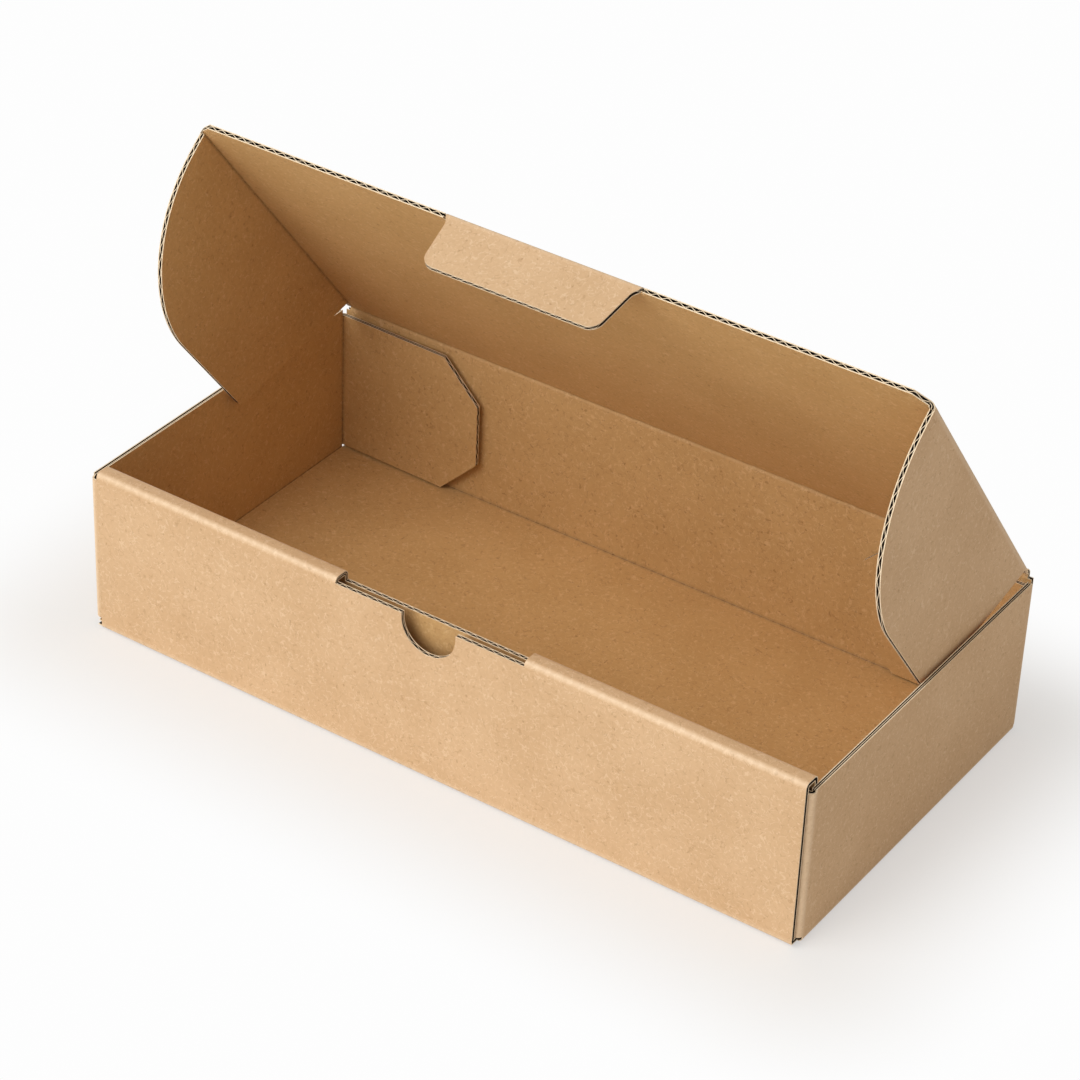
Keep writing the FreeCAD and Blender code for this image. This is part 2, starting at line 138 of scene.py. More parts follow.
def slab(near, far, keep, fold=None):
    """Closed sheet between two grids of points, walled in along every border of keep.

    Each kept cell gives one face on either grid. Where the next cell is left out, the cell's
    side is joined from grid to grid, and that face is a cut edge. Returned are the points, the
    faces, each face's kind (0 on near, 1 on far, 2 a cut edge) and each point's fold weight.
    """
    near, far = np.broadcast_arrays(near, far)
    rows, columns = near.shape[:2]
    total = rows * columns
    index = np.arange(total).reshape(rows, columns)
    corners = np.stack([index[:-1, :-1], index[:-1, 1:], index[1:, 1:], index[1:, :-1]], -1)
    faces = [corners[keep], corners[keep][:, ::-1] + total]
    kinds = [np.repeat([0, 1], int(keep.sum()))]
    around = np.pad(keep, 1)
    beside = [around[:-2, 1:-1], around[1:-1, 2:], around[2:, 1:-1], around[1:-1, :-2]]
    for side, other in enumerate(beside):
        edge = corners[keep & ~other]
        a = edge[:, side]
        b = edge[:, (side + 1) % 4]
        faces.append(np.stack([b, a, a + total, b + total], axis=1))
        kinds.append(np.full(len(edge), 2))
    faces = np.concatenate(faces)
    across = near[:-1, 1:] - near[:-1, :-1]
    along = near[1:, :-1] - near[:-1, :-1]
    thick = (near - far)[:-1, :-1]
    if (np.cross(across, along) * thick).sum(axis=-1)[keep].sum() < 0:
        faces = faces[:, ::-1]
    points = np.concatenate([near.reshape(-1, 3), far.reshape(-1, 3)])
    weight = np.zeros((rows, columns)) if fold is None else np.broadcast_to(fold, (rows, columns))
    weight = np.tile(weight.reshape(-1), 2)
    used, renamed = np.unique(faces, return_inverse=True)
    return points[used], renamed.reshape(faces.shape), np.concatenate(kinds), weight[used]


def make_piece(name, liners, waves):
    """One object from liner sheets and wavy sheets, given in millimetres.

    The liners come in pairs, inner one first. Each shows its paper outwards and its glued
    side, in shade, to the wavy sheet. The attribute fold is 1 on a fold, 0 on flat board, and
    sets how much painted highlight and painted crease shade the liners get there.
    """
    outside, cut, glued, inside = range(4)
    inner_liner = np.array([inside, glued, cut])
    outer_liner = np.array([glued, outside, cut])
    wavy_sheet = np.array([glued, glued, cut])
    finishes = [inner_liner, outer_liner] * (len(liners) // 2) + [wavy_sheet] * len(waves)
    points = []
    faces = []
    finish = []
    weights = []
    count = 0
    for (sheet_points, sheet_faces, kinds, weight), slots in zip(liners + waves, finishes):
        points.append(sheet_points)
        faces.append(sheet_faces + count)
        finish.append(slots[kinds])
        weights.append(weight)
        count += len(sheet_points)
    mesh = bpy.data.meshes.new(name)
    mesh.from_pydata(np.concatenate(points) / 1000, [], np.concatenate(faces))
    mesh.polygons.foreach_set("material_index", np.concatenate(finish).astype(np.int32))
    mesh.polygons.foreach_set("use_smooth", np.ones(len(mesh.polygons), bool))
    attribute = mesh.attributes.new("fold", "FLOAT", "POINT")
    attribute.data.foreach_set("value", np.concatenate(weights).astype(np.float32))
    for material in (kraft_face, kraft_cut, kraft_wave, kraft_inside):
        mesh.materials.append(material)
    mesh.set_sharp_from_angle(angle=SHARP_ANGLE)
    mesh.validate()
    piece = bpy.data.objects.new(name, mesh)
    bpy.context.scene.collection.objects.link(piece)
    return piece


def colour(red, green, blue):
    """Linear colour from 0 to 255 screen values: the usual curve of power 2.4."""
    share = np.array([red, green, blue]) / 255
    linear = np.where(share < 0.04045, share / 12.92, ((share + 0.055) / 1.055) ** 2.4)
    return (*[float(v) for v in linear], 1.0)


def add(tree, kind, settings=None, **inputs):
    """Shader node with its settings, and each named input set to a value or linked.

    An input given as _0, _1 and so on is the socket of that number.
    """
    node = tree.nodes.new(kind)
    for key, value in (settings or {}).items():
        setattr(node, key, value)
    for key, value in inputs.items():
        socket = node.inputs[int(key[1:])] if key[0] == "_" else node.inputs[key]
        if isinstance(value, bpy.types.NodeSocket):
            tree.links.new(value, socket)
        else:
            socket.default_value = value
    return node


def noise(tree, place, scale, detail=2.0, rough=0.5, warp=0.0):
    """Height of a cloud pattern, scale times per metre."""
    node = add(tree, "ShaderNodeTexNoise", None, Vector=place, Scale=scale, Detail=detail,
               Roughness=rough, Distortion=warp)
    return node.outputs["Fac"]


def ramp(tree, value, low, high, start=0.0, end=1.0):
    """Value carried from low..high to start..end, and held outside it."""
    node = add(tree, "ShaderNodeMapRange", {"interpolation_type": "SMOOTHSTEP"})
    tree.links.new(value, node.inputs["Value"])
    node.inputs["From Min"].default_value = low
    node.inputs["From Max"].default_value = high
    node.inputs["To Min"].default_value = start
    node.inputs["To Max"].default_value = end
    return node.outputs["Result"]


def math_node(tree, operation, first, second=0.0):
    """Outcome of one step of arithmetic on two numbers or sockets."""
    node = add(tree, "ShaderNodeMath", {"operation": operation}, _0=first, _1=second)
    return node.outputs[0]


def mixed(tree, share, first, second):
    """Colour from the first to the second as share goes from 0 to 1.

    The node's two colours are its sockets 6 and 7, and the mixed one is its output 2.
    """
    node = add(tree, "ShaderNodeMix", {"data_type": "RGBA"}, _0=share, _6=first, _7=second)
    return node.outputs[2]


def fibres(tree, place, scale, thin, seed):
    """Short curved fibres: level lines of one cloud pattern, broken up by a finer one.

    A line is full where the pattern is within 0.3 of thin of its middle level, and gone at
    thin. seed moves the pattern, so that layers of fibres differ.
    """
    moved = add(tree, "ShaderNodeMapping", None, Vector=place, Location=(seed, -seed, seed * 0.5))
    level = math_node(tree, "SUBTRACT", noise(tree, moved.outputs[0], scale, 0.0, 0.5, 0.7), 0.5)
    line = ramp(tree, math_node(tree, "ABSOLUTE", level), thin * 0.3, thin, 1.0, 0.0)
    broken = ramp(tree, noise(tree, moved.outputs[0], scale * 1.4, 0.0), 0.42, 0.56)
    return math_node(tree, "MULTIPLY", line, broken)


# The liner paper's patterns, in times per metre, and how far each colour covers the one below.
FACE_CLOUDS = 45
FACE_GRAINS = 700
FACE_SPECKS = 800
FACE_BUMPS = 520
GRAIN_SHARE = 0.10
PALE_SHARE = 0.31
DARK_SHARE = 0.30
SPECK_SHARE = 0.42
FOLD_SHEEN_SHADE_SHARE = 0.40
RIPPLE_SHARE = 0.20
RIPPLE_DRIFT = 3.0
FLAT_ROUGHNESS = 0.62
FOLD_ROUGHNESS = 0.48


def new_material(name):
    """Empty node material, with its tree, its shader and its object coordinates."""
    material = bpy.data.materials.new(name)
    material.use_nodes = True
    tree = material.node_tree
    shader = tree.nodes["Principled BSDF"]
    place = add(tree, "ShaderNodeTexCoord").outputs["Object"]
    return material, tree, shader, place


def make_kraft_face(name, dark_brown, brown, pale_brown, dark_fibre, pale_fibre, fold_stretch_sheen_shade_colour):
    """Unbleached liner paper: mottled brown, with pale and dark fibres and a few specks.

    Along a fold the outer liner goes pale, as stretched paper and a painted highlight, and the
    inner one goes dark, as painted shade in the crease. Both show a ripple there, a sine of X at
    the flutes' pitch.
    """
    material, tree, shader, place = new_material(name)
    cloud = ramp(tree, noise(tree, place, FACE_CLOUDS, 3.0), 0.3, 0.7)
    base = mixed(tree, cloud, brown, pale_brown)
    grain = ramp(tree, noise(tree, place, FACE_GRAINS, 3.0, 0.7), 0.25, 0.75)
    base = mixed(tree, grain, mixed(tree, GRAIN_SHARE, base, dark_brown), base)
    pale = math_node(tree, "MAXIMUM", fibres(tree, place, 430, 0.032, 0.31),
                     fibres(tree, place, 560, 0.036, 2.13))
    dark = fibres(tree, place, 480, 0.030, 0.77)
    base = mixed(tree, math_node(tree, "MULTIPLY", pale, PALE_SHARE), base, pale_fibre)
    base = mixed(tree, math_node(tree, "MULTIPLY", dark, DARK_SHARE), base, dark_fibre)
    speck = ramp(tree, noise(tree, place, FACE_SPECKS, 0.0), 0.79, 0.82)
    base = mixed(tree, math_node(tree, "MULTIPLY", speck, SPECK_SHARE), base, dark_fibre)
    fold = add(tree, "ShaderNodeAttribute", {"attribute_name": "fold"}).outputs["Fac"]
    across = add(tree, "ShaderNodeSeparateXYZ", None, Vector=place).outputs["X"]
    phase = math_node(tree, "MULTIPLY", across, 1000 * 2 * math.pi / FLUTE_PITCH)
    drift = math_node(tree, "MULTIPLY", grain, RIPPLE_DRIFT)
    sine = math_node(tree, "SINE", math_node(tree, "ADD", phase, drift))
    ripple = math_node(tree, "MULTIPLY", ramp(tree, sine, -0.2, 1.0), RIPPLE_SHARE)
    # Painted fold colour: pale on the outer liner, partly stretched paper and partly painted
    # highlight, and dark on the inner one as painted shade in the crease.
    fold_stretch_sheen_and_shade = math_node(tree, "MULTIPLY", fold, math_node(tree, "ADD", FOLD_SHEEN_SHADE_SHARE, ripple))
    base = mixed(tree, fold_stretch_sheen_and_shade, base, fold_stretch_sheen_shade_colour)
    tree.links.new(base, shader.inputs["Base Color"])
    rough = ramp(tree, fold, 0.0, 1.0, FLAT_ROUGHNESS, FOLD_ROUGHNESS)
    tree.links.new(rough, shader.inputs["Roughness"])
    shader.inputs["Specular IOR Level"].default_value = 0.4
    height = noise(tree, place, FACE_BUMPS, 2.0, 0.6)
    bump = add(tree, "ShaderNodeBump", None, Height=height, Strength=0.22, Distance=0.0004)
    tree.links.new(bump.outputs[0], shader.inputs["Normal"])
    return material


def make_kraft_cut():
    """Die-cut edge of the paper: pale, as the fibres are torn open there."""
    material, tree, shader, place = new_material("kraft_cut_edge")
    grain = ramp(tree, noise(tree, place, 1400, 3.0, 0.7), 0.3, 0.7)
    base = mixed(tree, grain, colour(230, 205, 170), colour(248, 230, 202))
    tree.links.new(base, shader.inputs["Base Color"])
    shader.inputs["Roughness"].default_value = 0.85
    return material


def make_kraft_wave():
    """Wavy sheet and glued sides in the board: nearly black, as hardly any light gets in."""
    material, tree, shader, place = new_material("kraft_wavy_sheet")
    grain = ramp(tree, noise(tree, place, 800, 3.0, 0.6), 0.3, 0.7)
    base = mixed(tree, grain, colour(46, 32, 20), colour(64, 46, 29))
    tree.links.new(base, shader.inputs["Base Color"])
    shader.inputs["Roughness"].default_value = 0.9
    return material


kraft_face = make_kraft_face("kraft_outer_liner", colour(150, 108, 68), colour(210, 174, 133),
                             colour(217, 182, 142), colour(166, 124, 80),
                             colour(243, 217, 184), colour(243, 217, 184))
# The inner liner's darker, more saturated browns are partly its own paper and partly painted
# shade for the inside of the box. Its dark fold colour is painted crease shade.
kraft_inside = make_kraft_face("kraft_inner_liner", colour(136, 94, 52), colour(201, 160, 105),
                               colour(207, 166, 111), colour(144, 101, 56),
                               colour(238, 205, 158), colour(84, 52, 24))
kraft_cut = make_kraft_cut()
kraft_wave = make_kraft_wave()

FRONT_Y = -60.25
REAR_Y = 60.25
FLOOR_Z = 0.75
ROLL_Z = 53.25
INNER_Y = -55.85
INNER_SLOPE = math.tan(math.radians(4))
HINGE_Z = 51.85
HINGE_REACH = 1.4
ROLL_FOLD = 1.05
WALL_FOLD = 0.95
FOLD_FADE = 1.9         # from a fold's corner to where its crease has faded
INNER_CUT = 50.6        # along the inner wall, from its foot to the slot
ROLL_START_Z = 51.6
PANEL_END = 118.6
FRONT_LEFT_END = 116.0
INNER_END = 117.9
FLOOR_END = 118.3
SLOT_HALF = 31.35
NOTCH_RADIUS = 9.0
NOTCH_CENTRE_Z = 50.8
NOTCH_ROW_Z = 38.0
LOCK_TOP_Z = 1.8
LOCK_FOOT_Z = 0.15
LOCK_HALF = 13.0
LOCK_X = 65.0
LOCK_GAP = 0.4
END_SUNK = 0.1          # the wavy sheet stops short of the liners' ends by this

lock_y = INNER_Y + (ROLL_Z - LOCK_FOOT_Z) * INNER_SLOPE
section, section_out = rounded_line(
    [(lock_y, LOCK_FOOT_Z), (INNER_Y, ROLL_Z), (FRONT_Y, ROLL_Z), (FRONT_Y, FLOOR_Z),
     (REAR_Y, FLOOR_Z), (REAR_Y, HINGE_Z - HINGE_REACH)],
    [ROLL_FOLD, ROLL_FOLD, WALL_FOLD, WALL_FOLD],
    [(0, LOCK_TOP_Z - LOCK_FOOT_Z), (0, 30.0), (0, INNER_CUT),
     (2, 2.2), (2, ROLL_Z - NOTCH_ROW_Z), (2, 46.0), (2, ROLL_Z - FLOOR_Z - FOLD_FADE),
     (3, FOLD_FADE), (3, lock_y - HALF - LOCK_GAP - FRONT_Y),
     (3, lock_y + HALF + LOCK_GAP - FRONT_Y), (3, 60.0), (3, REAR_Y - FRONT_Y - FOLD_FADE),
     (4, FOLD_FADE), (4, 30.0)],
    steps=7)
section_y, section_z = section.T
section_row = np.arange(len(section))
front_run = (np.abs(section_y - FRONT_Y) < 0.01) & (section_z > 3)
slot_top = section_z[front_run].max()
inner_edge = np.argmax(section_z > ROLL_START_Z) - 1
front_edge = np.flatnonzero(front_run)[0]
row_end = np.select([section_row < inner_edge, section_z < 1.0], [INNER_END, FLOOR_END],
                    PANEL_END)
rolled = (section_y < FRONT_Y + 0.5) | ((section_z > ROLL_START_Z) & (section_y < 0))
left_end = np.where(rolled, FRONT_LEFT_END, row_end)


def notch_top(x):
    """Height of the front wall's cut edge: a half circle sunk in the slot's straight edge.

    At X within the radius it is the centre's height less the root of the radius squared less
    X squared.
    """
    inside = np.abs(x) < NOTCH_RADIUS
    sink = np.sqrt(np.clip(NOTCH_RADIUS ** 2 - x ** 2, 0, None))
    return np.where(inside, NOTCH_CENTRE_Z - sink, slot_top)


def section_grid(x, offset):
    """The folded section carried along X, offset outwards along its normal.

    Rows of the front wall above the notch's lowest row are pulled down in proportion, so
    that the top one follows the notch. The inner wall's edge at the slot is crushed by the
    die, which takes about a tenth off the offset there.
    """
    crushed = np.where(section_row <= inner_edge, 0.5 * np.exp(section_z - slot_top), 0)[:, None]
    crushed = crushed * np.clip(SLOT_HALF - np.abs(x), 0, 1)[None, :]
    offset = offset * (1 - crushed)
    y = section_y[:, None] + section_out[:, :1] * offset
    z = section_z[:, None] + section_out[:, 1:] * offset
    across = np.clip(x[None, :], -left_end[:, None], row_end[:, None])
    share = (section_z - NOTCH_ROW_Z) / (slot_top - NOTCH_ROW_Z)
    share = np.where(front_run, np.clip(share, 0, 1), 0)[:, None]
    z = z + share * (notch_top(x) - slot_top)[None, :]
    y, z, across = np.broadcast_arrays(y, z, across)
    return np.stack([across, y, z], axis=-1)


def section_keep(x, with_floor=True):
    """Cells of the section that are board: the slot, the notch and the lock cuts are not."""
    middle = np.abs(x[1:] + x[:-1])[None, :] / 2
    rows = section_row[:-1, None]
    low = section_z[:-1, None]
    high = section_z[1:, None]
    y = section_y[:-1, None]
    keep = np.ones((len(section) - 1, len(x) - 1), bool)
    keep &= ~((rows >= inner_edge) & (rows < front_edge) & (middle < SLOT_HALF))
    at_lock = np.abs(middle - LOCK_X)
    keep &= ~((rows < 1) & (at_lock > LOCK_HALF))
    on_floor = (low < 1.0) & (high < 1.0) & (rows > front_edge)
    in_cut = np.abs((y + section_y[1:, None]) / 2 - lock_y) < HALF + LOCK_GAP
    keep &= ~(on_floor & in_cut & (at_lock < LOCK_HALF + LOCK_GAP))
    if not with_floor:
        keep &= ~on_floor
    return keep


# The notch's upright sides run from the columns at its radius to two a hair inside them.
notch_columns = NOTCH_RADIUS * np.sin(np.linspace(-np.pi / 2, np.pi / 2, 33))
notch_columns[[0, -1]] *= 0.9999
steps_x = [PANEL_END, 115.0, SLOT_HALF, SLOT_HALF - 1.0, NOTCH_RADIUS, LOCK_X - LOCK_HALF,
           LOCK_X + LOCK_HALF, LOCK_X - LOCK_HALF - LOCK_GAP, LOCK_X + LOCK_HALF + LOCK_GAP,
           105.0, 45.0, 20.0]
liner_x = np.unique(np.concatenate([steps_x, np.negative(steps_x), notch_columns]))
wave_x = flute_samples(END_SUNK - FRONT_LEFT_END, INNER_END - END_SUNK,
                       [-SLOT_HALF, SLOT_HALF, -NOTCH_RADIUS, NOTCH_RADIUS])
# The fold colour, partly stretched paper and partly painted highlight on the outer liner and
# painted shade on the inner one, is strongest half way round the rolled top's arcs. The folds at
# the floor are sharp creases.
half_way = 0.7
section_turn = np.abs(section_out).min(axis=1)
section_fold = np.where(section_z > 2, section_turn / half_way, crease(section_out))[:, None]
section_liners = []
for low, high in ((-HALF, LINER - HALF), (HALF - LINER, HALF)):
    section_liners.append(slab(section_grid(liner_x, low), section_grid(liner_x, high),
                               section_keep(liner_x), section_fold))
crest = wave(wave_x)[None, :]
section_waves = [slab(section_grid(wave_x, crest - WAVE_SHEET / 2),
                      section_grid(wave_x, crest + WAVE_SHEET / 2),
                      section_keep(wave_x, with_floor=False))]

WALL_X = 119.25
CORNER_Y = 58.45
FLAP_LOW = 2.2
FRONT_FLAP_X = 70.0
FRONT_FLAP_TOP = 50.0
REAR_FLAP_X = 67.0
REAR_FLAP_TOP = 49.0
CHAMFER = 13.0
WALL_TOP = 51.0
WALL_SUNK = 0.15        # the wavy sheet stops short of the cut edge by this
LEFT_LEAN = math.radians(1.5)


def side_sheets(side, lean):
    """Liners and wavy sheet of one side wall with its two corner flaps.

    The plan line runs from the front flap's end round the wall to the rear flap's end, and is
    carried up Z. At the foot it turns in over the floor's fold. The rear flap's end is drawn
    back by one for one towards its top and foot.
    """
    plan, out = rounded_line(
        [(FRONT_FLAP_X, -CORNER_Y), (WALL_X, -CORNER_Y), (WALL_X, CORNER_Y),
         (REAR_FLAP_X, CORNER_Y - (WALL_X - REAR_FLAP_X) * math.tan(lean))],
        [WALL_FOLD, WALL_FOLD],
        [(0, 25.0), (0, WALL_X - FRONT_FLAP_X - FOLD_FADE), (1, FOLD_FADE), (1, 60.0),
         (1, 2 * CORNER_Y - FOLD_FADE), (2, FOLD_FADE), (2, 34.0)])
    back = plan[-1] - plan[-2]
    back = back / np.hypot(*back)
    on_wall = np.abs(plan[:, 0] - WALL_X) < 0.01
    wall_first, wall_last = np.flatnonzero(on_wall)[[0, -1]]

    def grid(z, turn, offset):
        """Board at the heights z, turned in below it by the angle turn of the floor's fold."""
        drawn = np.clip(np.maximum(CHAMFER - (z - FLAP_LOW), CHAMFER - (REAR_FLAP_TOP - z)),
                        0, CHAMFER)
        shape = (len(z), len(plan))
        offset = np.broadcast_to(offset, shape)
        inward = (WALL_FOLD + offset) * np.sin(turn)[:, None] - WALL_FOLD
        x = plan[None, :, 0] + out[None, :, 0] * inward
        y = plan[None, :, 1] + out[None, :, 1] * inward
        x[:, -1] -= back[0] * drawn
        y[:, -1] -= back[1] * drawn
        height = z[:, None] - (WALL_FOLD + offset) * np.cos(turn)[:, None]
        return np.stack([side * x, y, np.broadcast_to(height, shape)], axis=-1)

    def keep(z):
        """Cells between heights z that are board: the flaps are lower than the wall."""
        low = z[:-1, None]
        high = z[1:, None]
        column = np.arange(len(plan) - 1)[None, :]
        wall = (column >= wall_first) & (column < wall_last)
        front = (column < wall_first) & (low > FLAP_LOW - 0.01) & (high < FRONT_FLAP_TOP + 0.01)
        rear = (column >= wall_last) & (low > FLAP_LOW - 0.01) & (high < REAR_FLAP_TOP + 0.01)
        return wall | front | rear

    fold_turn = np.linspace(0, np.pi / 2, 8)
    heights = [FLAP_LOW, FLAP_LOW + CHAMFER, 25.0, REAR_FLAP_TOP - CHAMFER, REAR_FLAP_TOP,
               FRONT_FLAP_TOP, WALL_TOP]
    z = np.concatenate([np.full(len(fold_turn), FLOOR_Z + WALL_FOLD), heights])
    turn = np.concatenate([fold_turn, np.full(len(heights), np.pi / 2)])
    # Fold weight at the foot and the corners: painted highlight on the outer liner, painted
    # crease shade on the inner one.
    foot = crease(np.stack([np.sin(fold_turn), np.cos(fold_turn)], axis=1))
    foot = np.concatenate([foot, np.zeros(len(heights))])
    fold = np.maximum(foot[:, None], crease(out)[None, :])
    liners = []
    for low, high in ((-HALF, LINER - HALF), (HALF - LINER, HALF)):
        liners.append(slab(grid(z, turn, low), grid(z, turn, high), keep(z), fold))
    z = flute_samples(FLAP_LOW, WALL_TOP - WALL_SUNK, [REAR_FLAP_TOP, FRONT_FLAP_TOP])
    turn = np.full(len(z), np.pi / 2)
    crest = wave(z)[:, None]
    waves = [slab(grid(z, turn, crest - WAVE_SHEET / 2), grid(z, turn, crest + WAVE_SHEET / 2),
                  keep(z))]
    return liners, waves


right_liners, right_waves = side_sheets(1.0, 0.0)
left_liners, left_waves = side_sheets(-1.0, LEFT_LEAN)
tray = make_piece("tray_board", section_liners + right_liners + left_liners,
                  section_waves + right_waves + left_waves)
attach(tray, "tray")
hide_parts("tray")

# The lid: the same sheet carried on over the rear fold. Its flutes run from the rear fold to
# the front edge, where they are cut open on both sides of the tuck tab.

LID_OPEN = math.radians(52)
LID_SIDE = 116.1
LID_FRONT = 118.75
TAB_FOLD = 118.45
RECESS_HALF = 31.95
RECESS_FRONT = 117.5
CORNER_START = 112.3
CORNER_BAND = 100.0     # length along the lid past which the corner cut draws it back
EDGE_STRIP = 0.9
LID_SUNK = 0.06
# CREASE sets the painted highlight and the painted crease shade of the folds along the lid's
# sides.
CREASE = 0.7            # fold weight beside the folds along the lid's sides


def on_lid(x, s, n):
    """Place of x across, s along and n above the lid's middle plane, with the lid half open."""
    x, s, n = np.broadcast_arrays(x, s, n)
    y = REAR_Y - s * math.cos(LID_OPEN) + n * math.sin(LID_OPEN)
    z = HINGE_Z + s * math.sin(LID_OPEN) + n * math.cos(LID_OPEN)
    return np.stack([x, y, z], axis=-1)


def cornered(x, s):
    """Length s along the lid, drawn back where the front corners are cut off at 45 degrees.

    Past the start of the cut the front edge goes back by one for one, and rows behind it
    in proportion.
    """
    limit = np.minimum(LID_FRONT, LID_FRONT + CORNER_START - np.abs(x))
    share = np.clip((s - CORNER_BAND) / (LID_FRONT - CORNER_BAND), 0, 1)
    return s - share * (LID_FRONT - limit)


def lid_keep(x, s):
    """Cells of the lid, without those in front of the tab's fold."""
    middle = np.abs(x[1:] + x[:-1])[None, :] / 2
    return ~((s[:-1, None] > RECESS_FRONT - 0.01) & (middle < RECESS_HALF))


half_x = np.array([0.0, RECESS_HALF, 60.0, CORNER_START, LID_SIDE - EDGE_STRIP, LID_SIDE])
lid_x = np.unique(np.concatenate([half_x, -half_x]))
lid_s = np.array([HINGE_REACH, 4.0, 40.0, 80.0, 110.0, RECESS_FRONT, LID_FRONT])
along = cornered(lid_x[None, :], lid_s[:, None])
lid_fold = (np.abs(lid_x) == LID_SIDE)[None, :] * CREASE
lid_liners = []
for low, high in ((-HALF, LINER - HALF), (HALF - LINER, HALF)):
    lid_liners.append(slab(on_lid(lid_x[None, :], along, low),
                           on_lid(lid_x[None, :], along, high), lid_keep(lid_x, lid_s),
                           lid_fold))
wave_x = flute_samples(-LID_SIDE, LID_SIDE, [-RECESS_HALF, RECESS_HALF])
crest = wave(wave_x)[None, :]
along = cornered(wave_x[None, :], lid_s[:, None]) - LID_SUNK
lid_waves = [slab(on_lid(wave_x[None, :], along, crest - WAVE_SHEET / 2),
                  on_lid(wave_x[None, :], along, crest + WAVE_SHEET / 2),
                  lid_keep(wave_x, lid_s))]
lid = make_piece("lid_board", lid_liners, lid_waves)
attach(lid, "lid")
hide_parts("lid_panel")

# The two dust flaps, turned down along the lid's sides. The front edge is an arc about the
# rear fold, so it clears the front wall, and the cut crosses the flutes at a slant.

FLAP_OUTER = 117.6
FLAP_DEPTH = 48.0
FLAP_START_H = 0.2
FLAP_ARC = 113.3
FLAP_CORNER = 44.0
FLAP_TIP_S = 28.0
FLAP_REAR_S = 4.5
FLAP_STRIP = 0.7
FLAP_SUNK = 0.05

corner_h = FLAP_DEPTH - FLAP_CORNER
corner_s = math.sqrt((FLAP_ARC - FLAP_CORNER) ** 2 - (corner_h + HALF) ** 2)
join_h = (corner_h + HALF) * FLAP_ARC / (FLAP_ARC - FLAP_CORNER) - HALF


def flap_front(h):
    """Front edge along the lid at depth h: the large arc, then the rounded lower corner.

    Each is an arc's centre plus the root of its radius squared less the height above or
    below that centre squared.
    """
    large = np.sqrt(np.clip(FLAP_ARC ** 2 - (h + HALF) ** 2, 0, None))
    small = corner_s + np.sqrt(np.clip(FLAP_CORNER ** 2 - (h - corner_h) ** 2, 0, None))
    return np.where(h < join_h, large, small)


rear_line = rounded_line([(FLAP_REAR_S, FLAP_START_H), (FLAP_TIP_S, FLAP_DEPTH),
                          (80.0, FLAP_DEPTH)], [2.5], steps=8)[0]
rear_s, rear_h = rear_line[:-1].T


def flap_grid(side, h, offset, share):
    """Flap at depth h, share of the way from its rear edge to its front edge."""
    rear = np.interp(h, rear_h, rear_s)[:, None]
    s = rear + share[None, :] * (flap_front(h)[:, None] - rear)
    return on_lid(side * (FLAP_OUTER - HALF + offset), s, -HALF - h[:, None])


def make_flap(side, name):
    """Two liners and the wavy sheet, with rows that crowd towards the round lower edge."""
    rows = FLAP_START_H + (FLAP_DEPTH - FLAP_START_H) * np.sin(np.linspace(0, np.pi / 2, 46))
    rows = np.insert(rows, 1, FLAP_START_H + FLAP_STRIP)
    share = np.linspace(0, 1, 12)
    keep = np.ones((len(rows) - 1, len(share) - 1), bool)
    fold = (rows == FLAP_START_H)[:, None] * CREASE
    liners = []
    for low, high in ((-HALF, LINER - HALF), (HALF - LINER, HALF)):
        liners.append(slab(flap_grid(side, rows, low, share),
                           flap_grid(side, rows, high, share), keep, fold))
    rows = flute_samples(FLAP_START_H, FLAP_DEPTH - FLAP_SUNK)
    keep = np.ones((len(rows) - 1, len(share) - 1), bool)
    crest = wave(rows)[:, None]
    waves = [slab(flap_grid(side, rows, crest - WAVE_SHEET / 2, share),
                  flap_grid(side, rows, crest + WAVE_SHEET / 2, share), keep)]
    return make_piece(name, liners, waves)


left_flap = make_flap(-1.0, "left_dust_flap_board")
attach(left_flap, "left_flap")
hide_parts("left_dust_flap")
right_flap = make_flap(1.0, "right_dust_flap_board")
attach(right_flap, "right_flap")
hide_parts("right_dust_flap")

# The tuck tab on the lid's front edge, which goes down into the slot of the front wall. It
# tapers to rounded corners, and its root flares a little into the lid.

TAB_TURN = math.radians(72)
TAB_START = TAB_FOLD - RECESS_FRONT
TAB_LENGTH = 17.5
TAB_ROOT_HALF = 29.75
TAB_TIP_HALF = 27.75
TAB_FLARE = 2.0
TAB_CORNER = 4.0
TAB_SUNK = 0.05
TAB_SIDE_SUNK = 0.25

tab_line = rounded_line([(TAB_ROOT_HALF + TAB_FLARE, 0.0), (TAB_ROOT_HALF, TAB_FLARE),
                         (TAB_TIP_HALF, TAB_LENGTH), (0.0, TAB_LENGTH)],
                        [TAB_CORNER, TAB_CORNER], [(0, 0.6)], steps=9)[0]
tab_half, tab_reach = tab_line[:-1].T


def on_tab(x, q, p):
    """Place of x across, q from the fold and p out from the tab's middle plane."""
    s = TAB_FOLD + q * math.cos(TAB_TURN) + p * math.sin(TAB_TURN)
    n = -q * math.sin(TAB_TURN) + p * math.cos(TAB_TURN)
    return on_lid(x, s, n)


